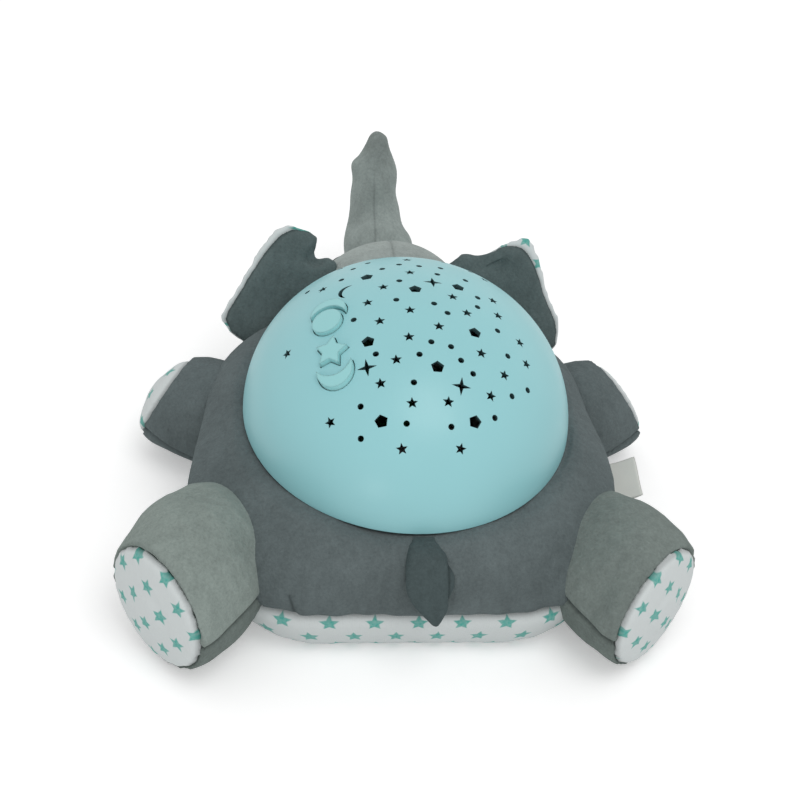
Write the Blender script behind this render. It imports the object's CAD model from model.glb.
"""Looks of a plush elephant night light: stuffed cloth pieces, pierced shell, studio."""
import math

import bpy
import numpy as np
from mathutils import Matrix, Vector
from mathutils.bvhtree import BVHTree


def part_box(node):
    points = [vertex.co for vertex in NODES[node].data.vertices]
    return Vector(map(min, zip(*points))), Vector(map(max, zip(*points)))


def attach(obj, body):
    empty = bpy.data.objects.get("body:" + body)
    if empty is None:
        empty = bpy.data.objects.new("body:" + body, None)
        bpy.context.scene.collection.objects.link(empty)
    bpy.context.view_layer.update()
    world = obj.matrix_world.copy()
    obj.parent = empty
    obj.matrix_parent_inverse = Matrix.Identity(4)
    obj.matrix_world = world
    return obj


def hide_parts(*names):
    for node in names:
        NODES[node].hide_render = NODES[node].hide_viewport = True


bl_info = {
    "name": "Plush elephant night light",
    "version": (1, 0, 0),
    "blender": (4, 5, 0),
    "location": "View3D > Sidebar > Night light",
    "description": "Dresses the night light's solids as stuffed plush, printed knit and moulded plastic",
    "category": "Object",
}

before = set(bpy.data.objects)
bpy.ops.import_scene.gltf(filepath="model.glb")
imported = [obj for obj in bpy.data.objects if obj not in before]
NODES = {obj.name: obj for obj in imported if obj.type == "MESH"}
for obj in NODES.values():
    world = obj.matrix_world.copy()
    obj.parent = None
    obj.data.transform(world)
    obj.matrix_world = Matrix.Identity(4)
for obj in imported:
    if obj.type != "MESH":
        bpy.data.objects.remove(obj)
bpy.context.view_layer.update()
SHELL_LOW, SHELL_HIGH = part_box("dome_cover")
RIM = SHELL_LOW.z
SHELL_HALF = Vector((SHELL_HIGH.x, SHELL_HIGH.y, SHELL_HIGH.z - RIM))
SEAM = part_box("plush_body")[0].z         # level of the seam between body and belly
BODY = "elephant"
BUTTONS = ("button_front_moon", "button_round", "button_star", "button_rear_moon")

# Places and sizes, in metres
TUB_HALF = np.array((0.066, 0.075))      # half width and length of the tub with the cloth round it
FLOOR = -0.0005                          # a hair below the belly, so that the two faces don't coincide
SEWN_IN, LEG_SEWN_IN = 0.006, 0.012      # how far a sewn root runs on into its neighbour
EAR_ROOT, EAR_OUT, EAR_UP = (0.036, 0.099, 0.070), (0.98, -0.17, -0.10), (0, 0.5, 0.866)
HIND_REACH, FRONT_REACH = 0.068, 0.061   # length of a leg from the hip to the sole
FRONT_MOVE = (0, -0.005, -0.001)         # the front legs sit further back than their solids
BEHIND_PAD, ROLL = 0.0004, 0.0012        # where a leg's end stops at its sole, and its roll round the edge
TAG_MOVE, TAG_CURL = (0.003, -0.006, 0.004), 0.006
# Height of a leg as a share of its solid's, at places from the hip (0) to the sole (1)
LEG_PLACES = (0.0, 0.17, 0.35, 0.55, 0.75, 0.92, 1.0)
LEFT_HIND = (0.62, 0.78, 1.00, 1.10, 1.10, 1.03, 0.97)
RIGHT_HIND = (0.52, 0.64, 0.82, 0.95, 1.02, 1.02, 0.97)
FRONT = (0.80, 0.90, 1.00, 1.06, 1.06, 1.00, 0.90)
# The camera's sensor in millimetres, the picture's side in pixels, and the aim off the rim's middle in pixels
SENSOR, PICTURE, AIM = 36, 800, (-5.5, 10.0)
# Kinds of shader node that are used most
MATH, VECTOR, MIX = "ShaderNodeMath", "ShaderNodeVectorMath", "ShaderNodeMix"
NOISE, RANGE, BUMP = "ShaderNodeTexNoise", "ShaderNodeMapRange", "ShaderNodeBump"


def linear(code):
    """Linear colour of an sRGB hex code."""
    parts = [int(code[i:i + 2], 16) / 255 for i in (1, 3, 5)]
    return tuple(c / 12.92 if c <= 0.04045 else ((c + 0.055) / 1.055) ** 2.4 for c in parts)


def colour(code, name, description):
    return bpy.props.FloatVectorProperty(name=name, description=description, subtype="COLOR",
                                         size=3, min=0, max=1, default=linear(code))


def scalar(value, name, description, **more):
    return bpy.props.FloatProperty(name=name, description=description, default=value, **more)


def length(metres, name, description):
    return scalar(metres, name, description, unit="LENGTH")


def angle(degrees, name, description):
    return scalar(math.radians(degrees), name, description, subtype="ANGLE")


class ClothLook(bpy.types.PropertyGroup):
    """Colours of the sewn pieces and the size of the print."""
    body: colour("#636d6e", "Body plush", "Grey of the body and front legs")
    hind: colour("#8b9691", "Hind leg plush", "Paler grey of the hind legs' upper panels")
    hind_right: colour("#7a8480", "Right hind leg plush", "The same cloth with its nap laid the other way")
    lower: colour("#6f7975", "Lower leg plush", "Grey of the hind legs' lower panels")
    trunk: colour("#98a29f", "Trunk plush", "Grey of the trunk")
    head: colour("#a2aba8", "Head plush", "Pale grey of the head cap")
    ear: colour("#5d6a6a", "Ear plush", "Dark grey of the ears' backs")
    tail: colour("#4c5859", "Tail plush", "Dark grey of the tail")
    ground: colour("#d2d8d8", "Print ground", "White of the printed knit")
    star: colour("#4fa79c", "Print star", "Teal of the printed stars")
    tag: colour("#d9dcd6", "Tag", "White of the satin tag")
    pitch: length(0.0185, "Star pitch", "Distance between stars in a row")
    row: length(0.0102, "Row pitch", "Distance between the staggered rows")
    star_size: length(0.0041, "Star radius", "Radius of a printed star")


class ShellLook(bpy.types.PropertyGroup):
    """Finish of the pierced shell and its buttons."""
    body: colour("#94cdd2", "Shell plastic", "Pale teal of the shell")
    button: colour("#97d2d4", "Button plastic", "Pale teal of the buttons")
    roughness: scalar(0.36, "Roughness", "Satin of the moulded surface", subtype="FACTOR", min=0, max=1)


class Filling(bpy.types.PropertyGroup):
    """How full the stuffed pieces are."""
    pressure: scalar(4.0, "Pressure", "Push of the fibre filling")
    steps: bpy.props.IntProperty(name="Steps", description="Frames that the skin is given to swell",
                                 default=20)
    voxel: length(0.004, "Skin spacing", "Spacing of the skin's points before it swells")


class Studio(bpy.types.PropertyGroup):
    """Camera and lamps."""
    azimuth: angle(-7.2, "Azimuth", "Turn of the camera round the toy")
    elevation: angle(39, "Elevation", "Height of the camera over the horizon")
    roll: angle(4.9, "Roll", "Tilt of the camera")
    distance: length(0.8, "Distance", "Camera to the middle of the shell's rim")
    lens: scalar(77.76, "Lens", "Focal length on a 36 mm sensor, in millimetres")
    sky: scalar(0.72, "Sky", "Light from all round")
    key: scalar(4.0, "Key lamp", "Softbox above the camera, in watts")
    card: scalar(0.5, "Low card", "Small low lamp behind the camera, in watts")


# Helpers for materials

def feed(tree, node, inputs):
    """Sets a node's inputs; a value may also be a socket, or a node for its first socket."""
    for socket, value in inputs.items():
        if isinstance(value, bpy.types.Node):
            value = value.outputs[0]
        if isinstance(value, bpy.types.NodeSocket):
            tree.links.new(value, node.inputs[socket])
        else:
            node.inputs[socket].default_value = value


def add(tree, kind, inputs=None, **settings):
    """One node with its settings and inputs."""
    made = tree.nodes.new(kind)
    for key, value in settings.items():
        setattr(made, key, value)
    feed(tree, made, inputs or {})
    return made


def blank(name):
    """New material with only its shader and output."""
    material = bpy.data.materials.new(name)
    material.use_nodes = True
    tree = material.node_tree
    return material, tree, tree.nodes["Principled BSDF"]


def four(rgb, gain=1.0):
    return (*[min(1.0, c * gain) for c in rgb], 1.0)


def velboa(name, rgb):
    """Short-pile polyester velboa, knitted and sheared: the nap lies in soft light and dark patches,
    single tufts show as a fine grain, and the pile ends catch the light at the edges."""
    material, tree, shader = blank(name)
    place = add(tree, "ShaderNodeTexCoord").outputs["Object"]
    nap = add(tree, NOISE, {"Vector": place, "Scale": 1 / 0.034, "Detail": 3.0, "Roughness": 0.55})
    combed = add(tree, "ShaderNodeMapping", {"Vector": place, "Scale": (1 / 0.004, 1 / 0.004, 1 / 0.016)})
    streak = add(tree, NOISE, {"Vector": combed, "Scale": 1.0, "Detail": 3.0})
    # tufts are about 0.5 mm; drawn at 1.3 mm so that they show
    tuft = add(tree, NOISE, {"Vector": place, "Scale": 1 / 0.0013, "Detail": 4.0, "Roughness": 0.7})
    lie = add(tree, MIX, {0: 0.4, 2: nap, 3: streak})
    patch = add(tree, RANGE, {0: lie, 1: 0.36, 2: 0.64})
    tone = add(tree, MIX, {0: patch, 6: four(rgb, 0.85), 7: four(rgb, 1.11)}, data_type="RGBA")
    grain = add(tree, RANGE, {0: tuft, 1: 0.3, 2: 0.7, 3: 0.84, 4: 1.1})
    seam = add(tree, "ShaderNodeAttribute", attribute_name="seam")
    shade = add(tree, RANGE, {0: seam.outputs["Fac"], 3: 1.0, 4: 0.55})
    both = add(tree, MATH, {0: grain, 1: shade}, operation="MULTIPLY")
    cloth = add(tree, VECTOR, {0: tone.outputs[2], 3: both}, operation="SCALE")
    relief = add(tree, BUMP, {"Strength": 0.55, "Distance": 0.0009, "Height": tuft})
    dents = add(tree, BUMP, {"Strength": 0.5, "Distance": 0.0016, "Height": streak, "Normal": relief})
    feed(tree, shader, {"Base Color": cloth, "Normal": dents, "Roughness": 0.95, "Specular IOR Level": 0.12,
                        "Sheen Weight": 0.22, "Sheen Roughness": 0.45, "Sheen Tint": four(rgb, 1.6)})
    return material


def star_print(name, look):
    """Smooth polyester knit, printed with small stars in staggered rows: fine ribs of stitches,
    ink that sinks in unevenly, and no gloss."""
    material, tree, shader = blank(name)
    cut = add(tree, "ShaderNodeUVMap", uv_map="print")
    wobble = add(tree, NOISE, {"Vector": cut, "Scale": 1 / 0.0016, "Detail": 1.0})
    split = add(tree, "ShaderNodeSeparateXYZ", {0: cut})
    rows = add(tree, MATH, {0: split.outputs[1], 1: 1 / look.row}, operation="MULTIPLY")
    number = add(tree, MATH, {0: rows}, operation="FLOOR")
    odd = add(tree, MATH, {0: number, 1: 2.0}, operation="FLOORED_MODULO")
    shift = add(tree, MATH, {0: odd, 1: 0.5}, operation="MULTIPLY")
    columns = add(tree, MATH, {0: split, 1: 1 / look.pitch, 2: shift}, operation="MULTIPLY_ADD")
    across = add(tree, MATH, {0: columns}, operation="FRACT")
    along = add(tree, MATH, {0: rows}, operation="FRACT")
    x = add(tree, MATH, {0: across, 1: look.pitch, 2: -look.pitch / 2}, operation="MULTIPLY_ADD")
    y = add(tree, MATH, {0: along, 1: look.row, 2: -look.row / 2}, operation="MULTIPLY_ADD")
    spot = add(tree, "ShaderNodeCombineXYZ", {0: x, 1: y})
    reach = add(tree, VECTOR, {0: spot}, operation="LENGTH")
    turn = add(tree, MATH, {0: x, 1: y}, operation="ARCTAN2")
    sector = add(tree, MATH, {0: turn, 1: math.pi / 5, 2: -math.pi / 5}, operation="WRAP")
    fold = add(tree, MATH, {0: sector}, operation="ABSOLUTE")
    cosine = add(tree, MATH, {0: fold}, operation="COSINE")
    sine = add(tree, MATH, {0: fold}, operation="SINE")
    px = add(tree, MATH, {0: cosine, 1: reach.outputs["Value"]}, operation="MULTIPLY")
    py = add(tree, MATH, {0: sine, 1: reach.outputs["Value"]}, operation="MULTIPLY")
    outer, inner = look.star_size, look.star_size * 0.5
    edge = Vector((outer - inner * math.cos(math.pi / 5), inner * math.sin(math.pi / 5)))
    side = edge.normalized()
    from_tip = add(tree, MATH, {0: px, 1: side.y, 2: -outer * side.y}, operation="MULTIPLY_ADD")
    gap = add(tree, MATH, {0: py, 1: side.x, 2: from_tip}, operation="MULTIPLY_ADD")
    uneven = add(tree, MATH, {0: wobble, 1: 0.0007, 2: gap}, operation="MULTIPLY_ADD")
    ink = add(tree, RANGE, {0: uneven, 1: 0.00005, 2: 0.00055, 3: 1.0, 4: 0.0})
    fade = add(tree, RANGE, {0: wobble, 1: 0.3, 2: 0.7, 3: 0.75, 4: 1.0})
    laid = add(tree, MATH, {0: ink, 1: fade}, operation="MULTIPLY")
    printed = add(tree, MIX, {0: laid, 6: four(look.ground), 7: four(look.star)}, data_type="RGBA")
    # stitches are about 0.4 mm; drawn at 1 mm so that they show
    ribs = add(tree, "ShaderNodeTexWave", {"Vector": cut, "Scale": 1 / 0.001 / math.tau * 2,
                                           "Distortion": 1.0, "Detail": 1.0, "Detail Scale": 2.0})
    seam = add(tree, "ShaderNodeAttribute", attribute_name="seam")
    shade = add(tree, RANGE, {0: seam.outputs["Fac"], 3: 1.0, 4: 0.6})
    cloth = add(tree, VECTOR, {0: printed.outputs[2], 3: shade}, operation="SCALE")
    crease = add(tree, NOISE, {"Vector": cut, "Scale": 1 / 0.012, "Detail": 2.0})
    fine = add(tree, BUMP, {"Strength": 0.25, "Distance": 0.0003, "Height": ribs.outputs["Fac"]})
    soft = add(tree, BUMP, {"Strength": 0.4, "Distance": 0.0012, "Height": crease, "Normal": fine})
    feed(tree, shader, {"Base Color": cloth, "Normal": soft, "Roughness": 0.88, "Specular IOR Level": 0.2,
                        "Sheen Weight": 0.08})
    return material


def moulded(name, rgb, roughness, grit=0.0006, depth=0.00004, edge=0.0004, cut_walls=0.0):
    """Injection-moulded ABS: even colour, satin from a spark-eroded mould with a fine grit, edges rounded
    by the mould, and faint smears where hands have polished it. cut_walls darkens the walls of cut-outs."""
    material, tree, shader = blank(name)
    place = add(tree, "ShaderNodeTexCoord").outputs["Object"]
    flow = add(tree, NOISE, {"Vector": place, "Scale": 1 / 0.05, "Detail": 2.0})
    tone = add(tree, MIX, {0: flow, 6: four(rgb, 0.96), 7: four(rgb, 1.04)}, data_type="RGBA").outputs[2]
    if cut_walls:
        from_rim = add(tree, VECTOR, {0: place, 1: (0, 0, RIM)}, operation="SUBTRACT")
        slope = add(tree, VECTOR, {0: from_rim, 1: [half ** -2 for half in SHELL_HALF]}, operation="MULTIPLY")
        shell = add(tree, VECTOR, {0: slope}, operation="NORMALIZE")
        true = add(tree, "ShaderNodeNewGeometry")
        facing = add(tree, VECTOR, {0: shell, 1: true.outputs["True Normal"]}, operation="DOT_PRODUCT")
        wall = add(tree, RANGE, {0: facing.outputs["Value"], 1: 0.3, 2: 0.8, 3: cut_walls, 4: 1.0})
        tone = add(tree, VECTOR, {0: tone, 3: wall}, operation="SCALE").outputs[0]
    smear = add(tree, NOISE, {"Vector": place, "Scale": 1 / 0.018, "Detail": 4.0})
    polish = add(tree, RANGE, {0: smear, 1: 0.3, 2: 0.7, 3: roughness - 0.05, 4: roughness + 0.06})
    rounded = add(tree, "ShaderNodeBevel", {"Radius": edge}, samples=4)
    pits = add(tree, NOISE, {"Vector": place, "Scale": 1 / grit, "Detail": 2.0})
    relief = add(tree, BUMP, {"Strength": 0.3, "Distance": depth, "Height": pits, "Normal": rounded})
    feed(tree, shader, {"Base Color": tone, "Roughness": polish, "Normal": relief, "IOR": 1.5})
    return material


def plated(name, rgb, roughness):
    """Plated steel: metal colour, uneven in tone, with dull spots."""
    material, tree, shader = blank(name)
    place = add(tree, "ShaderNodeTexCoord").outputs["Object"]
    spots = add(tree, NOISE, {"Vector": place, "Scale": 1 / 0.002, "Detail": 4.0})
    dull = add(tree, RANGE, {0: spots, 3: roughness - 0.1, 4: roughness + 0.15})
    tone = add(tree, MIX, {0: spots, 6: four(rgb, 0.85), 7: four(rgb, 1.1)}, data_type="RGBA")
    feed(tree, shader, {"Roughness": dull, "Base Color": tone.outputs[2], "Metallic": 1.0})
    return material


def solder_mask(name):
    """Fibreglass board under green solder mask: glossy lacquer over faint copper tracks."""
    material, tree, shader = blank(name)
    place = add(tree, "ShaderNodeTexCoord").outputs["Object"]
    tracks = add(tree, "ShaderNodeTexBrick", {"Vector": place, "Scale": 1 / 0.004,
                                              "Color1": four(linear("#14522c")),
                                              "Color2": four(linear("#1a5c33")),
                                              "Mortar": four(linear("#2f7a46"))})
    feed(tree, shader, {"Base Color": tracks.outputs["Color"], "Roughness": 0.3})
    return material


def clear_epoxy(name):
    """Cast epoxy lens of a lamp: water clear with a warm tint."""
    material, tree, shader = blank(name)
    place = add(tree, "ShaderNodeTexCoord").outputs["Object"]
    haze = add(tree, NOISE, {"Vector": place, "Scale": 1 / 0.003})
    dull = add(tree, RANGE, {0: haze, 3: 0.05, 4: 0.16})
    feed(tree, shader, {"Roughness": dull, "Base Color": four(linear("#f4f1e6")), "Transmission Weight": 0.8,
                        "IOR": 1.55})
    return material


def satin_ribbon(name, rgb):
    """Woven polyester satin: fine close threads one way, with a soft sheen."""
    material, tree, shader = blank(name)
    place = add(tree, "ShaderNodeTexCoord").outputs["Object"]
    # threads are about 0.2 mm; drawn at 0.7 mm so that they show
    thread = add(tree, "ShaderNodeTexWave", {"Vector": place, "Scale": 1 / 0.0007 / math.tau * 2,
                                             "Distortion": 0.6}, bands_direction="Y")
    age = add(tree, NOISE, {"Vector": place, "Scale": 1 / 0.008, "Detail": 3.0})
    tone = add(tree, MIX, {0: age, 6: four(rgb, 0.92), 7: four(rgb, 1.04)}, data_type="RGBA")
    relief = add(tree, BUMP, {"Strength": 0.3, "Distance": 0.0002, "Height": thread.outputs["Fac"]})
    feed(tree, shader, {"Base Color": tone.outputs[2], "Normal": relief, "Roughness": 0.55,
                        "Sheen Weight": 0.2})
    return material


def pile_tape(name, rgb, hook):
    """Woven nylon tape with a pile of hooks or loops, one every hook metres."""
    material, tree, shader = blank(name)
    place = add(tree, "ShaderNodeTexCoord").outputs["Object"]
    pile = add(tree, "ShaderNodeTexVoronoi", {"Vector": place, "Scale": 1 / hook})
    tone = add(tree, MIX, {0: pile.outputs["Distance"], 6: four(rgb, 1.08), 7: four(rgb, 0.7)},
               data_type="RGBA")
    relief = add(tree, BUMP, {"Strength": 0.8, "Distance": 0.0006, "Height": pile.outputs["Distance"]},
                 invert=True)
    feed(tree, shader, {"Base Color": tone.outputs[2], "Normal": relief, "Roughness": 0.8})
    return material


def satin_stitch(name):
    """Eye embroidered in black rayon: close parallel stitches with a silky gloss."""
    material, tree, shader = blank(name)
    place = add(tree, "ShaderNodeTexCoord").outputs["Object"]
    stitch = add(tree, "ShaderNodeTexWave", {"Vector": place, "Scale": 1 / 0.0006 / math.tau * 2,
                                             "Distortion": 0.8}, bands_direction="Z")
    tone = add(tree, MIX, {0: stitch.outputs["Fac"], 6: four(linear("#0b0c0d")), 7: four(linear("#26282b"))},
               data_type="RGBA")
    relief = add(tree, BUMP, {"Strength": 0.7, "Distance": 0.0003, "Height": stitch.outputs["Fac"]})
    feed(tree, shader, {"Base Color": tone.outputs[2], "Normal": relief, "Roughness": 0.35})
    return material


def dress(material, *nodes):
    """Gives solids that stay as they are a finish."""
    for node in nodes:
        NODES[node].data.materials.clear()
        NODES[node].data.materials.append(material)


# Helpers for sewn pieces

def only(*pieces):
    bpy.ops.object.select_all(action="DESELECT")
    for piece in pieces:
        piece.select_set(True)
    bpy.context.view_layer.objects.active = pieces[0]


def points(piece, kind="co"):
    """Places of the points, or their normals."""
    found = np.empty(len(piece.data.vertices) * 3)
    piece.data.vertices.foreach_get(kind, found)
    return found.reshape(-1, 3)


def place_points(piece, where):
    piece.data.vertices.foreach_set("co", np.ascontiguousarray(where).ravel())
    piece.data.update()


def worked(piece, kind, **settings):
    """Adds a modifier and applies it."""
    modifier = piece.modifiers.new(kind.title(), kind)
    for key, value in settings.items():
        setattr(modifier, key, value)
    only(piece)
    bpy.ops.object.modifier_apply(modifier=modifier.name)


def edited(piece, tool, **settings):
    """Runs an edit-mode tool on the whole mesh."""
    only(piece)
    bpy.ops.object.mode_set(mode="EDIT")
    bpy.ops.mesh.select_all(action="SELECT")
    tool(**settings)
    bpy.ops.mesh.select_all(action="DESELECT")
    bpy.ops.object.mode_set(mode="OBJECT")


def block(name, low, high):
    """Cuboid between two corners."""
    bpy.ops.object.select_all(action="DESELECT")
    bpy.ops.mesh.primitive_cube_add(size=1, location=(low + high) / 2, scale=high - low)
    piece = bpy.context.object
    piece.name = name
    bpy.ops.object.transform_apply(location=True, rotation=True, scale=True)
    return piece


def finer(piece, levels):
    worked(piece, "SUBSURF", levels=levels, render_levels=levels)


def near(where, nodes):
    """Distance from each point to the nearest of the named solids."""
    trees = []
    for node in nodes:
        mesh = NODES[node].data
        trees.append(BVHTree.FromPolygons([v.co for v in mesh.vertices], [p.vertices for p in mesh.polygons]))
    return np.array([min(tree.find_nearest(spot)[3] for tree in trees) for spot in where])


def sewn(name, voxel, ease, *nodes, smooth=4, hosts=(), root=(0, 0, 0)):
    """Even closed skin over sewn solids, drawn in by ease (let out, where it is negative).
    Where it touches its hosts it runs on into them by root, so that the join is a clean line."""
    copies = []
    for node in nodes:
        copy = bpy.data.objects.new(name, NODES[node].data.copy())
        copy.data.materials.clear()
        bpy.context.scene.collection.objects.link(copy)
        copies.append(copy)
    only(*copies)
    if len(copies) > 1:
        bpy.ops.object.join()
    piece = copies[0]
    edited(piece, bpy.ops.mesh.remove_doubles, threshold=0.00002)
    if hosts:
        here = points(piece)
        here[near(here, hosts) < 0.001] += np.array(root)
        place_points(piece, here)
    worked(piece, "REMESH", mode="VOXEL", voxel_size=voxel)
    worked(piece, "SMOOTH", factor=0.5, iterations=smooth)
    if ease:
        worked(piece, "DISPLACE", strength=-ease, mid_level=0)
    return piece


def fill(piece, cap, held=None, strength=1.0):
    """Swells the skin with its filling; no point moves more than cap, and held points stay."""
    filling = bpy.context.scene.night_filling
    start = points(piece)
    cloth = piece.modifiers.new("Filling", "CLOTH")
    cloth.settings.quality = 5
    cloth.settings.use_pressure = True
    cloth.settings.uniform_pressure_force = filling.pressure * strength
    cloth.settings.effector_weights.gravity = 0
    cloth.collision_settings.use_collision = False
    if held is not None and held.any():
        group = piece.vertex_groups.new(name="held")
        group.add(np.flatnonzero(held).tolist(), 1.0, "REPLACE")
        cloth.settings.vertex_group_mass = "held"
    for step in range(1, filling.steps + 1):
        bpy.context.scene.frame_set(step)
    only(piece)
    bpy.ops.object.modifier_apply(modifier=cloth.name)
    bpy.context.scene.frame_set(1)
    move = points(piece) - start
    far = np.linalg.norm(move, axis=1, keepdims=True)
    place_points(piece, start + move * np.minimum(1, cap / np.maximum(far, 1e-9)))
    piece.vertex_groups.clear()


def from_tub(here):
    """Distance from the toy's middle, where 1 is the tub's wall."""
    return np.hypot(*(here[:, :2] / TUB_HALF).T)


def hips(here):
    """Width of the pear-shaped body as a share of its solid's: it spreads to the rear and below the rim."""
    spread = np.interp(-here[:, 1], (-0.075, -0.020, 0.010, 0.030), (0.0, 0.045, 0.085, 0.105))
    spread += np.where(here[:, 0] < 0, 0.35, 0.0) * spread
    return 1 + spread * np.interp(here[:, 2], (0.008, 0.029, 0.037, 0.050, 0.062), (0.0, 0.5, 1.0, 1.0, 0.0))


def out_of_shell(piece, gap=0.0004):
    """Pushes points that swelled into the shell back to its surface."""
    here = points(piece)
    middle = np.array((0, 0, RIM))
    half = np.array(SHELL_HALF) + gap
    share = np.linalg.norm((here - middle) / half, axis=1)
    inside = (here[:, 2] > RIM - 0.002) & (share < 1)
    here[inside] = middle + (here[inside] - middle) / share[inside, None]
    place_points(piece, here)


def on_floor(piece):
    """Flattens what would swell into the floor."""
    here = points(piece)
    here[:, 2] = np.maximum(here[:, 2], 0.0002)
    place_points(piece, here)


def mark(piece, amount):
    """Darkens cloth along its seams: keeps the strongest mark of each point."""
    layer = piece.data.attributes.get("seam") or piece.data.attributes.new("seam", "FLOAT", "POINT")
    old = np.zeros(len(piece.data.vertices))
    layer.data.foreach_get("value", old)
    layer.data.foreach_set("value", np.maximum(old, np.clip(amount, 0, 1)))


def push(piece, amount):
    """Moves each point along its normal by its own amount."""
    place_points(piece, points(piece) + points(piece, "normal") * amount[:, None])


def bell(away, width):
    """1 where away is 0, fading over width."""
    return np.exp(-(away / width) ** 2)


def seam(piece, away, width, depth, where=True):
    """Sewn line where away is 0: a narrow groove between two soft shoulders."""
    here = np.asarray(where, float)
    groove = bell(away, width) * here
    shoulder = bell(np.abs(away) - 2.6 * width, 1.6 * width) * here
    push(piece, -depth * groove + 0.3 * depth * shoulder)
    mark(piece, bell(away, 0.6 * width) * here)


def dent(piece, centre, reach, depth, stretch=(1, 1, 1)):
    """Soft hollow, or a bump where depth is negative."""
    away = np.linalg.norm((points(piece) - np.array(centre)) / np.array(stretch), axis=1)
    push(piece, -depth * bell(away, reach))


def pull(piece, centre, reach, move):
    """Draws the cloth round a spot along by a vector."""
    here = points(piece)
    share = bell(np.linalg.norm(here - np.array(centre), axis=1), reach)
    place_points(piece, here + share[:, None] * np.array(move))


def rumple(piece, size, height, seed):
    """Loose cloth over uneven filling: a few crossing waves of the given size."""
    chance = np.random.RandomState(seed)
    here = points(piece)
    waves = np.zeros(len(here))
    for _ in range(9):
        way = chance.normal(size=3)
        way *= math.tau / size * chance.uniform(0.7, 1.4) / np.linalg.norm(way)
        waves += np.sin(here @ way + chance.uniform(0, math.tau))
    push(piece, height * waves / 4)


def puckers(piece, away, turn, reach, height, count, seed):
    """Gathers along a seam: small folds that run off it, strongest on the line."""
    chance = np.random.RandomState(seed)
    ripple = np.zeros(len(turn))
    for number in range(3):
        ripple += np.sin(turn * (count + 5 * number) + chance.uniform(0, math.tau)) / (number + 1)
    push(piece, height * ripple * np.exp(-np.abs(away) / reach))


def cut_line(piece, spot, way):
    """Row of edges through the skin along a plane, for a crisp seam."""
    edited(piece, bpy.ops.mesh.bisect, plane_co=tuple(spot), plane_no=tuple(way))


def panels(piece, spot, way, above, below):
    """Two cloths, one each side of a plane."""
    piece.data.materials.clear()
    piece.data.materials.append(above)
    piece.data.materials.append(below)
    centres = np.empty(len(piece.data.polygons) * 3)
    piece.data.polygons.foreach_get("center", centres)
    under = (centres.reshape(-1, 3) - np.array(spot)) @ np.array(way) < 0
    piece.data.polygons.foreach_set("material_index", under.astype(np.int32))


def print_map(piece, across, along):
    """Lays the printed cloth on: its own metres across and along, at each point."""
    layer = piece.data.uv_layers.new(name="print")
    corner = np.empty(len(piece.data.loops), np.int32)
    piece.data.loops.foreach_get("vertex_index", corner)
    layer.data.foreach_set("uv", np.column_stack((across[corner], along[corner])).ravel())


def laid_flat(piece, spot, side, up):
    """Print laid straight onto a nearly flat piece."""
    from_spot = points(piece) - np.array(spot)
    print_map(piece, from_spot @ np.array(side), from_spot @ np.array(up))


def done(piece, slot, *nodes, material=None, body=BODY):
    """Smooth shading, finish and place in the frame."""
    if material:
        piece.data.materials.clear()
        piece.data.materials.append(material)
    only(piece)
    bpy.ops.object.shade_smooth()
    mark(piece, np.zeros(len(piece.data.vertices)))
    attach(piece, body)
    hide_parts(*nodes)


def finish(name):
    return bpy.data.materials[name]


def middle_of(node):
    low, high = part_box(node)
    return np.array((low + high) / 2)


# Pieces

class NIGHT_OT_cloths(bpy.types.Operator):
    """Make the cloths that the sewn pieces share"""
    bl_idname = "night.cloths"
    bl_label = "Cloths"

    def execute(self, context):
        look = context.scene.night_cloth
        for name, rgb in (("grey", look.body), ("left hind leg", look.hind),
                          ("right hind leg", look.hind_right), ("lower leg", look.lower),
                          ("trunk", look.trunk), ("head", look.head), ("ear", look.ear), ("tail", look.tail)):
            velboa(name + " velboa", rgb)
        star_print("star print knit", look)
        return {"FINISHED"}


class NIGHT_OT_shell(bpy.types.Operator):
    """Finish the pierced shell and its push buttons"""
    bl_idname = "night.shell"
    bl_label = "Shell and buttons"

    def execute(self, context):
        look = context.scene.night_shell
        dress(moulded("shell ABS", look.body, look.roughness, cut_walls=0.2), "dome_cover")
        dress(moulded("button ABS", look.button, look.roughness - 0.03, edge=0.0012), *BUTTONS)
        return {"FINISHED"}


class NIGHT_OT_light_unit(bpy.types.Operator):
    """Finish the tub and what is inside it"""
    bl_idname = "night.light_unit"
    bl_label = "Light unit"

    def execute(self, context):
        dress(moulded("white ABS", linear("#dfe1df"), 0.45), "base_tub", "battery_door", "led_post")
        dress(plated("zinc-plated steel", linear("#b9bbbd"), 0.35),
              "housing_screws", "board_screws", "door_screws")
        dress(solder_mask("green solder mask"), "button_board", "led_board", "main_board")
        dress(moulded("black phenolic", linear("#1c1c1d"), 0.5), "tact_switches")
        dress(clear_epoxy("clear lamp epoxy"), "leds")
        dress(plated("plated speaker steel", linear("#9d9fa2"), 0.4), "speaker_frame", "speaker_magnet")
        dress(moulded("coated cone paper", linear("#2b2b2c"), 0.8, grit=0.002, depth=0.0002), "speaker_cone")
        dress(moulded("cell shrink wrap", linear("#3a3f47"), 0.3), "battery_cells")
        dress(plated("nickel-plated spring steel", linear("#cfcabb"), 0.3),
              "contact_plates", "contact_springs")
        return {"FINISHED"}


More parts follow.
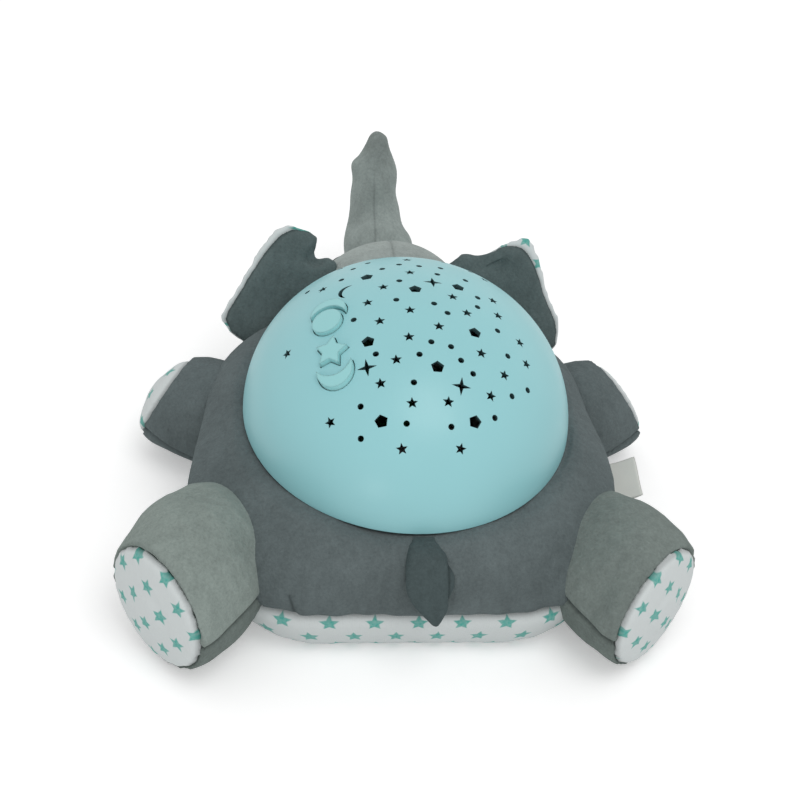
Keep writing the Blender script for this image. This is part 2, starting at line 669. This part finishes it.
class NIGHT_OT_body(bpy.types.Operator):
    """Stuff the grey body round the tub"""
    bl_idname = "night.body"
    bl_label = "Body"

    def execute(self, context):
        piece = sewn("body_plush", context.scene.night_filling.voxel, 0.0004, "plush_body", smooth=2)
        here = points(piece)
        held = (here[:, 2] < SEAM + 0.0025) | (from_tub(here) < 1) | (here[:, 2] > RIM - 0.003)
        fill(piece, 0.004, held)
        finer(piece, 2)
        rumple(piece, 0.045, 0.0009, 3)
        here = points(piece)
        outside = from_tub(here) > 1.08
        here[:, 0] *= np.where(outside, hips(here), 1.0)
        place_points(piece, here)
        # rolls over the seam with the belly
        push(piece, np.where(outside, 0.0016 * bell(here[:, 2] - SEAM - 0.002, 0.006), 0.0))
        here = points(piece)
        puckers(piece, here[:, 2] - SEAM, np.arctan2(here[:, 1], here[:, 0]), 0.006, 0.00025, 46, 5)
        # dart at the rear, left of the tail
        dart = here[:, 0] + 0.052 + 0.3 * (here[:, 2] - SEAM)
        seam(piece, dart, 0.0012, 0.0006, (here[:, 1] < -0.06) & (here[:, 2] < SEAM + 0.012))
        mark(piece, bell(here[:, 2] - SEAM, 0.0015))
        here = points(piece)
        under_rim = np.hypot(here[:, 0] / SHELL_HALF.x, here[:, 1] / SHELL_HALF.y) < 1.03
        here[under_rim, 2] = np.minimum(here[under_rim, 2], RIM - 0.0003)
        place_points(piece, here)
        done(piece, "grey_plush", "plush_body", material=finish("grey velboa"))
        return {"FINISHED"}


class NIGHT_OT_belly(bpy.types.Operator):
    """Cover the belly with printed knit, drawn taut over the tub"""
    bl_idname = "night.belly"
    bl_label = "Belly"

    def execute(self, context):
        piece = sewn("belly_print", 0.0014, 0.0, "belly_panel")
        here = points(piece)
        face = points(piece, "normal")
        flap_low, flap_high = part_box("belly_flap")
        recess = ((here[:, 2] < 0.009) & (np.abs(here[:, 0]) < flap_high.x + 0.004)
                  & (here[:, 1] > flap_low.y - 0.004) & (here[:, 1] < flap_high.y + 0.004))
        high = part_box("belly_panel")[1]
        outside = ~recess & (face[:, 2] > -0.75) & (here[:, 2] > 0.002)
        turn = np.arctan2(here[:, 1] / high.y, here[:, 0] / high.x)
        ripple = np.zeros(len(here))
        for count, phase in ((21, 0.4), (34, 1.9), (55, 4.0)):
            ripple += np.sin(turn * count + phase) / 3
        amount = 0.0005 * ripple * np.exp(-np.abs(here[:, 2] - 0.004) / 0.006)
        wall = from_tub(here) > 1.02
        push(piece, np.where(outside & wall, amount, 0.0))
        here = points(piece)
        # the top edge is tucked in under the body
        tuck = np.clip((here[:, 2] - SEAM + 0.008) / 0.008, 0, 1) ** 2 * wall
        here[:, :2] *= 1 - 0.035 * tuck[:, None]
        here[:, 0] *= np.where(wall, hips(here), 1.0)
        here[:, 2] = np.maximum(here[:, 2], 0.0)
        place_points(piece, here)
        mark(piece, np.clip((here[:, 2] - SEAM + 0.0035) / 0.0035, 0, 1) * wall)
        # distance round the panel, from under the chin, with the rear's middle at a star
        angles = np.linspace(-1.5 * math.pi, 0.5 * math.pi, 721)
        power = 3.2
        ring = (np.abs(np.cos(angles)) ** power + np.abs(np.sin(angles)) ** power) ** (-1 / power)
        outline = np.column_stack((ring * np.cos(angles) * high.x, ring * np.sin(angles) * high.y))
        run = np.concatenate(([0], np.cumsum(np.linalg.norm(np.diff(outline, axis=0), axis=1))))
        wrapped = np.where(turn > 0.5 * math.pi, turn - math.tau, turn)
        around = np.interp(wrapped, angles, run) - np.interp(-0.5 * math.pi, angles, run)
        flat = (face[:, 2] < -0.75) | recess
        print_map(piece, np.where(flat, here[:, 0], around) + 0.0078,
                  np.where(flat, here[:, 1], here[:, 2] + 0.0015))
        done(piece, "star_print", "belly_panel", material=finish("star print knit"))
        return {"FINISHED"}


class NIGHT_OT_head(bpy.types.Operator):
    """Stuff the head and the trunk, and embroider the eyes"""
    bl_idname = "night.head"
    bl_label = "Head and trunk"

    def execute(self, context):
        voxel = context.scene.night_filling.voxel
        head = sewn("head_plush", voxel, 0.0010, "head")
        here = points(head)
        eyes = np.minimum(np.linalg.norm(here - middle_of("right_eye"), axis=1),
                          np.linalg.norm(here - middle_of("left_eye"), axis=1))
        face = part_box("head")[1].y
        fill(head, 0.003, held=(eyes < 0.007) | (here[:, 1] > face - 0.002))
        finer(head, 2)
        rumple(head, 0.05, 0.0005, 11)
        out_of_shell(head)
        cut_line(head, (0, 0, 0), (1, 0, 0))
        seam(head, points(head)[:, 0], 0.0011, 0.0009, 0.6)
        on_floor(head)
        done(head, "pale_plush", "head", material=finish("head velboa"))

        trunk = sewn("trunk_plush", 0.003, 0.0008, "trunk", hosts=("head",), root=(0, -SEWN_IN, 0))
        fill(trunk, 0.0022)
        finer(trunk, 2)
        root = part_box("trunk")[0].y
        # the end is drawn in on the left above a loose shoulder, and the root is folded on the left
        pull(trunk, (-0.0125, 0.190, 0.0905), 0.0055, (0.0040, 0, -0.0015))
        pull(trunk, (-0.0170, 0.186, 0.0810), 0.0060, (-0.0015, 0, 0.0020))
        pull(trunk, (-0.0015, 0.197, 0.0985), 0.0060, (-0.0008, 0, 0.0025))
        dent(trunk, (-0.012, 0.168, 0.058), 0.006, 0.0028, stretch=(2.2, 1, 0.7))
        dent(trunk, (0.010, 0.170, 0.056), 0.005, 0.0012, stretch=(2.0, 1, 0.8))
        rumple(trunk, 0.022, 0.0007, 17)
        cut_line(trunk, (-0.0025, 0, 0), (1, 0, 0.03))
        here = points(trunk)
        seam(trunk, here[:, 0] + 0.0025 + 0.03 * here[:, 2], 0.0010, 0.0006,
             0.5 * np.clip((0.090 - here[:, 2]) / 0.012, 0, 1))
        # nap brushed the wrong way up the middle to the end
        brushed = (here - np.array((0.0, 0.185, 0.086))) / np.array((0.008, 0.03, 0.013))
        tip = np.clip((here[:, 2] - 0.084) / 0.01, 0, 1)
        mark(trunk, 0.35 * np.exp(-np.sum(brushed ** 2, axis=1)) + 0.40 * tip)
        around = np.arctan2(here[:, 2] - 0.038, here[:, 0])
        puckers(trunk, here[:, 1] - root, around, 0.004, 0.0005, 17, 2)
        mark(trunk, bell(here[:, 1] - root, 0.0012))
        done(trunk, "grey_plush", "trunk", material=finish("trunk velboa"))

        thread = satin_stitch("black satin stitch")
        for side in ("right", "left"):
            eye = sewn(side + "_eye_stitched", 0.0006, 0.0, side + "_eye")
            finer(eye, 1)
            done(eye, "eye_thread", side + "_eye", material=thread)
        return {"FINISHED"}


class NIGHT_OT_ears(bpy.types.Operator):
    """Stuff the ears: dark plush behind, printed knit in front"""
    bl_idname = "night.ears"
    bl_label = "Ears"

    def execute(self, context):
        for side, sign in (("right", 1), ("left", -1)):
            flip = np.array((sign, 1, 1))
            root = np.array(EAR_ROOT) * flip
            out = np.array(EAR_OUT) * flip
            out /= np.linalg.norm(out)
            up = np.array(EAR_UP)
            up -= out * (out @ up)
            up /= np.linalg.norm(up)
            back = np.cross(out, up) * sign       # from the lining to the back
            piece = sewn(side + "_ear_plush", 0.0026, 0.0004, side + "_ear", side + "_ear_lining",
                         hosts=("head",), root=out * -SEWN_IN)
            fill(piece, 0.003)
            finer(piece, 2)
            # the lining wraps round the outer edge and shows as a strip from behind
            far = 0.75 * out + 0.66 * up
            line = root - back * 0.0011 + far * 0.012
            way = back - far * 0.18
            cut_line(piece, line, way)
            panels(piece, line, way, finish("ear velboa"), finish("star print knit"))
            laid_flat(piece, root, out, up)
            away = (points(piece) - line) @ way
            if side == "left":
                # the tip stands up behind a roll at the root, and the lobe hangs down to the rim
                dent(piece, root + out * 0.002 + up * 0.011 + back * 0.005, 0.0045, 0.0045,
                     stretch=(1.6, 1, 1))
                pull(piece, root + out * 0.006 + up * 0.020, 0.008, out * -0.007)
                pull(piece, root + out * 0.033 - up * 0.018, 0.012, up * -0.007)
                pull(piece, root + out * 0.050 - up * 0.010, 0.010, out * 0.0035)
            else:
                dent(piece, root + out * 0.014 + up * 0.008 + back * 0.006, 0.0045, 0.0035,
                     stretch=(2.2, 1, 1))
                pull(piece, root + out * 0.014 + up * 0.012, 0.009, up * 0.005)
                pull(piece, root + out * 0.052 - up * 0.024, 0.008, up * -0.003)
            dent(piece, root + out * 0.024 - up * 0.008 + back * 0.004, 0.015, 0.0030)
            rumple(piece, 0.03, 0.0005, 23 if sign > 0 else 29)
            seam(piece, away, 0.0008, 0.0006)
            out_of_shell(piece)
            done(piece, "dark_plush", side + "_ear", side + "_ear_lining")
        return {"FINISHED"}


def limb(name, plush, under, seam_drop, seed, swell, reach, slimming, lean=(0, 0, 0), bulge=0.0):
    """Stuffed leg of two panels, and the printed sole that its end is gathered round."""
    sole = name.replace("leg", "sole")
    sole_points = np.array([v.co for v in NODES[sole].data.vertices])
    centre = middle_of(sole)
    outward = np.linalg.svd(sole_points - sole_points.mean(axis=0), full_matrices=False)[2][2]
    outward *= np.sign(outward[0] * centre[0])
    up = np.array((0, 0, 1.0)) - outward * outward[2]
    up /= np.linalg.norm(up)
    side = np.cross(up, outward)
    rim = centre + outward * ((sole_points - centre) @ outward).min()

    piece = sewn(name + "_plush", 0.003, -swell, name, hosts=("plush_body", "belly_panel"),
                 root=outward * -LEG_SEWN_IN)
    fill(piece, 0.0045)
    finer(piece, 2)
    rumple(piece, 0.030, 0.0009, seed)
    # fat in the middle, slimmer where it is sewn to the body, and gathered round the sole
    here = points(piece) - rim
    ahead = here @ outward
    place = 1 + ahead / reach
    high, wide = here @ up, here @ side
    slim = np.interp(place, LEG_PLACES, slimming)
    high *= np.where(high > 0, slim, 1.0)
    wide *= (2 + slim) / 3
    spread = np.hypot(high, wide) / np.linalg.norm(sole_points - centre, axis=1).max()
    # the end stops behind the sole's pad and rolls a little round its edge
    roll = np.clip((spread - 0.94) / 0.04, 0, 1)
    ahead = np.minimum(ahead + 0.0028 * np.clip(1 + ahead / 0.008, 0, 1) ** 2, BEHIND_PAD + ROLL * roll)
    here = rim + ahead[:, None] * outward + high[:, None] * up + wide[:, None] * side
    here += np.clip(1 - place, 0, 1)[:, None] * np.array(lean)
    place_points(piece, here)
    spot = centre - up * seam_drop
    way = up + outward * 0.12
    cut_line(piece, spot, way)
    here = points(piece)
    seam(piece, (here - spot) @ way, 0.0012, 0.0014)
    here = points(piece) - rim
    puckers(piece, here @ outward - 0.003, np.arctan2(here @ up, here @ side), 0.006, 0.0001, 17, seed)
    mark(piece, 0.5 * np.clip((here @ outward - 0.0012) / 0.0012, 0, 1))
    panels(piece, spot, way, plush, under)
    on_floor(piece)

    pad = sewn(name + "_sole_print", 0.0018, 0.0, sole)
    here = points(pad) - centre
    along = (here @ outward)[:, None] * outward
    place_points(pad, centre + along + (here - along) * 0.975)
    fill(pad, 0.0016, strength=0.6)
    finer(pad, 1)
    here = points(pad) - rim
    across = here - (here @ outward)[:, None] * outward
    spread = np.linalg.norm(across, axis=1) / np.linalg.norm(here, axis=1).max()
    front = np.clip(here @ outward / 0.003, 0, 1) * np.clip(1 - spread ** 2, 0, 1)
    place_points(pad, rim + here + (bulge * front)[:, None] * outward)
    here = points(pad) - rim
    puckers(pad, here @ outward - 0.0025, np.arctan2(here @ up, here @ side), 0.003, 0.00015, 23, seed + 1)
    mark(pad, 0.7 * np.clip(1 - (here @ outward - 0.0026) / 0.0012, 0, 1))
    laid_flat(pad, centre, side, up)
    on_floor(pad)
    return piece, pad


def leg_done(leg, piece, pad):
    """Finish and place of a leg and its sole."""
    done(piece, "grey_plush", leg)
    done(pad, "star_print", leg.replace("leg", "sole"), material=finish("star print knit"))


class NIGHT_OT_hind_legs(bpy.types.Operator):
    """Stuff the hind legs and their soles"""
    bl_idname = "night.hind_legs"
    bl_label = "Hind legs"

    def execute(self, context):
        for side, seed in (("left", 31), ("right", 37)):
            leg = side + "_hind_leg"
            # the right one lies flatter than the left
            slimming = RIGHT_HIND if side == "right" else LEFT_HIND
            lean = (0.013 if side == "right" else -0.013, 0.009, 0)
            piece, pad = limb(leg, finish(side + " hind leg velboa"), finish("lower leg velboa"), 0.0015,
                              seed, 0.0015, HIND_REACH, slimming, lean, 0.0015)
            if side == "right":
                dent(piece, (0.079, -0.101, 0.050), 0.007, 0.0022, stretch=(1.3, 1, 1))
                dent(piece, (0.066, -0.104, 0.026), 0.006, 0.0020, stretch=(1.6, 1, 0.8))
            leg_done(leg, piece, pad)
        return {"FINISHED"}


class NIGHT_OT_front_legs(bpy.types.Operator):
    """Stuff the front legs and their soles"""
    bl_idname = "night.front_legs"
    bl_label = "Front legs"

    def execute(self, context):
        for side, seed in (("left", 41), ("right", 43)):
            leg = side + "_front_leg"
            piece, pad = limb(leg, finish("grey velboa"), finish("grey velboa"), 0.004, seed, 0.0025,
                              FRONT_REACH, FRONT, bulge=0.0045 if side == "left" else 0.0010)
            for part in (piece, pad):
                place_points(part, points(part) + np.array(FRONT_MOVE))
                on_floor(part)
            leg_done(leg, piece, pad)
        return {"FINISHED"}


class NIGHT_OT_tail(bpy.types.Operator):
    """Stuff the tail, two leaves sewn round their edge"""
    bl_idname = "night.tail"
    bl_label = "Tail"

    def execute(self, context):
        piece = sewn("tail_plush", 0.0016, 0.0003, "tail", hosts=("plush_body",), root=(0, SEWN_IN, 0))
        fill(piece, 0.0012, strength=0.6)
        finer(piece, 1)
        here = points(piece)
        edge = here[:, 0] - 0.0125 + 0.35 * (here[:, 2] - 0.046) * (here[:, 2] < 0.046)
        seam(piece, edge, 0.0010, 0.0009, here[:, 1] < -0.09)
        rumple(piece, 0.016, 0.0005, 53)
        out_of_shell(piece)
        done(piece, "grey_plush", "tail", material=finish("tail velboa"))
        return {"FINISHED"}


class NIGHT_OT_flap(bpy.types.Operator):
    """Make the belly flap with its hem and its hook-and-loop tapes"""
    bl_idname = "night.flap"
    bl_label = "Belly flap"

    def execute(self, context):
        low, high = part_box("belly_flap")
        flap = block("belly_flap_knit", low, high)
        edited(flap, bpy.ops.mesh.subdivide, number_cuts=40)
        worked(flap, "BEVEL", width=0.0003, segments=2, limit_method="ANGLE")
        here = points(flap)
        edge = np.minimum.reduce((here[:, 0] - low.x, high.x - here[:, 0],
                                  here[:, 1] - low.y, high.y - here[:, 1]))
        hem = bell(edge - 0.005, 0.0012)
        push(flap, -0.00018 * hem)
        mark(flap, 0.8 * hem)
        laid_flat(flap, (low + high) / 2, (1, 0, 0), (0, 1, 0))
        done(flap, "star_print", "belly_flap", material=finish("star print knit"), body="belly_flap")
        for node, hook, body in (("loop_tape", 0.0012, "belly_flap"), ("hook_tape", 0.0016, BODY)):
            low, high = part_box(node)
            tape = block(node + "_woven", low, high)
            worked(tape, "BEVEL", width=0.0002, segments=2)
            tape_nylon = pile_tape(node.replace("_", " ") + " nylon", linear("#dcdfdf"), hook)
            done(tape, "hook_and_loop", node, material=tape_nylon, body=body)
        return {"FINISHED"}


class NIGHT_OT_tag(bpy.types.Operator):
    """Make the folded satin tag in the side seam"""
    bl_idname = "night.tag"
    bl_label = "Side tag"

    def execute(self, context):
        low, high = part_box("side_tag")
        reach, width = high.x - low.x, high.y - low.y
        layer = (high.z - low.z) / 2
        bpy.ops.object.select_all(action="DESELECT")
        bpy.ops.mesh.primitive_grid_add(x_subdivisions=48, y_subdivisions=20, size=1)
        tag = bpy.context.object
        tag.name = "side_tag_satin"
        here = points(tag)
        # one strip, folded back on itself at the outer end
        run = (here[:, 0] + 0.5) * 2 * reach - reach
        side = here[:, 1] * width
        out = reach - np.abs(run)
        gap = (layer - 0.0001) * np.sqrt(np.clip(np.abs(run) / 0.004, 0, 1)) * np.sign(run)
        # it leaves the swollen side further out, further back and higher than the solid, and its end curls up
        rise = TAG_MOVE[2] + TAG_CURL * (out / reach) ** 2 + 0.0010 * np.sin(side / width * 4.2) * out / reach
        where = (low.x + TAG_MOVE[0] + out, (low.y + high.y) / 2 + side + TAG_MOVE[1],
                 (low.z + high.z) / 2 + gap * 0.7 + rise)
        place_points(tag, np.column_stack(where))
        worked(tag, "SOLIDIFY", thickness=0.0002, offset=0)
        done(tag, "tag_satin", "side_tag", material=satin_ribbon("tag satin", context.scene.night_cloth.tag))
        return {"FINISHED"}


class NIGHT_OT_stage(bpy.types.Operator):
    """Set up the floor, the lamps and the camera"""
    bl_idname = "night.stage"
    bl_label = "Studio"

    def execute(self, context):
        scene = context.scene
        look = scene.night_studio
        bpy.ops.object.select_all(action="DESELECT")
        bpy.ops.mesh.primitive_plane_add(size=8, location=(0, 0, FLOOR))
        floor = context.object
        floor.name = "studio_floor"
        paper, tree, shader = blank("white backdrop paper")
        # it glows a little to the camera alone, so that it looks white
        path = add(tree, "ShaderNodeLightPath")
        glow = add(tree, MATH, {0: path.outputs["Is Camera Ray"], 1: 0.3}, operation="MULTIPLY")
        feed(tree, shader, {"Base Color": (0.92, 0.92, 0.92, 1), "Roughness": 0.9, "Specular IOR Level": 0.1,
                            "Emission Color": (1, 1, 1, 1), "Emission Strength": glow})
        floor.data.materials.append(paper)

        world = bpy.data.worlds.new("white studio")
        scene.world = world
        world.use_nodes = True
        tree = world.node_tree
        tree.nodes.clear()
        path = add(tree, "ShaderNodeLightPath")
        seen = add(tree, MATH, {0: path.outputs["Is Camera Ray"], 1: path.outputs["Is Glossy Ray"]},
                   operation="MAXIMUM")
        shown = add(tree, MATH, {0: seen, 1: path.outputs["Is Transmission Ray"]}, operation="MAXIMUM")
        dim = add(tree, "ShaderNodeBackground", {"Color": (1, 1, 1, 1), "Strength": look.sky})
        white = add(tree, "ShaderNodeBackground", {"Color": (1, 1, 1, 1), "Strength": 1.0})
        mixed = add(tree, "ShaderNodeMixShader", {0: shown, 1: dim, 2: white})
        add(tree, "ShaderNodeOutputWorld", {"Surface": mixed})

        for name, place, size, energy in (("softbox", (0.25, -0.50, 1.32), 0.7, look.key),
                                          ("low_card", (-0.50, -1.02, 0.14), 0.16, look.card)):
            bpy.ops.object.light_add(type="AREA", location=place)
            lamp = context.object
            lamp.name = name
            lamp.data.energy = energy
            lamp.data.size = size
            lamp.rotation_euler = (Vector((0, 0, RIM)) - lamp.location).to_track_quat("-Z", "Y").to_euler()

        a, e, r = look.azimuth, look.elevation, look.roll
        right = Vector((math.cos(a), math.sin(a), 0))
        back = Vector((math.sin(a) * math.cos(e), -math.cos(a) * math.cos(e), math.sin(e)))
        up = back.cross(right)
        right, up = right * math.cos(r) + up * math.sin(r), up * math.cos(r) - right * math.sin(r)
        bpy.ops.object.camera_add()
        camera = context.object
        camera.name = "photo_camera"
        camera.data.lens = look.lens
        camera.data.sensor_width = SENSOR
        camera.data.clip_start = 0.01
        # the middle of the rim is a little right of and below the middle of the picture
        shift = Vector(AIM) * look.distance / (look.lens / SENSOR * PICTURE)
        aim = Vector((0, 0, RIM)) + right * shift.x + up * shift.y
        turned = Matrix((right, up, back)).transposed().to_4x4()
        camera.matrix_world = Matrix.Translation(aim + back * look.distance) @ turned
        scene.camera = camera
        scene.view_settings.view_transform = "Standard"
        return {"FINISHED"}


STEPS = (NIGHT_OT_cloths, NIGHT_OT_shell, NIGHT_OT_light_unit, NIGHT_OT_body, NIGHT_OT_belly, NIGHT_OT_head,
         NIGHT_OT_ears, NIGHT_OT_hind_legs, NIGHT_OT_front_legs, NIGHT_OT_tail, NIGHT_OT_flap, NIGHT_OT_tag,
         NIGHT_OT_stage)
SETTINGS = {"night_cloth": ClothLook, "night_shell": ShellLook, "night_filling": Filling,
            "night_studio": Studio}


class NIGHT_PT_panel(bpy.types.Panel):
    """Settings and steps of the night light"""
    bl_idname = "NIGHT_PT_panel"
    bl_label = "Night light"
    bl_space_type = "VIEW_3D"
    bl_region_type = "UI"
    bl_category = "Night light"

    def draw(self, context):
        for name, kind in SETTINGS.items():
            box = self.layout.box()
            box.label(text=kind.__doc__)
            for key in kind.__annotations__:
                box.prop(getattr(context.scene, name), key)
        for step in STEPS:
            self.layout.operator(step.bl_idname)


def register():
    for kind in (*SETTINGS.values(), *STEPS, NIGHT_PT_panel):
        bpy.utils.register_class(kind)
    for name, kind in SETTINGS.items():
        setattr(bpy.types.Scene, name, bpy.props.PointerProperty(type=kind))


def unregister():
    for name in SETTINGS:
        delattr(bpy.types.Scene, name)
    for kind in (NIGHT_PT_panel, *reversed(STEPS), *SETTINGS.values()):
        bpy.utils.unregister_class(kind)


def main():
    register()
    for step in STEPS:
        group, name = step.bl_idname.split(".")
        getattr(getattr(bpy.ops, group), name)()


if __name__ == "__main__":
    main()
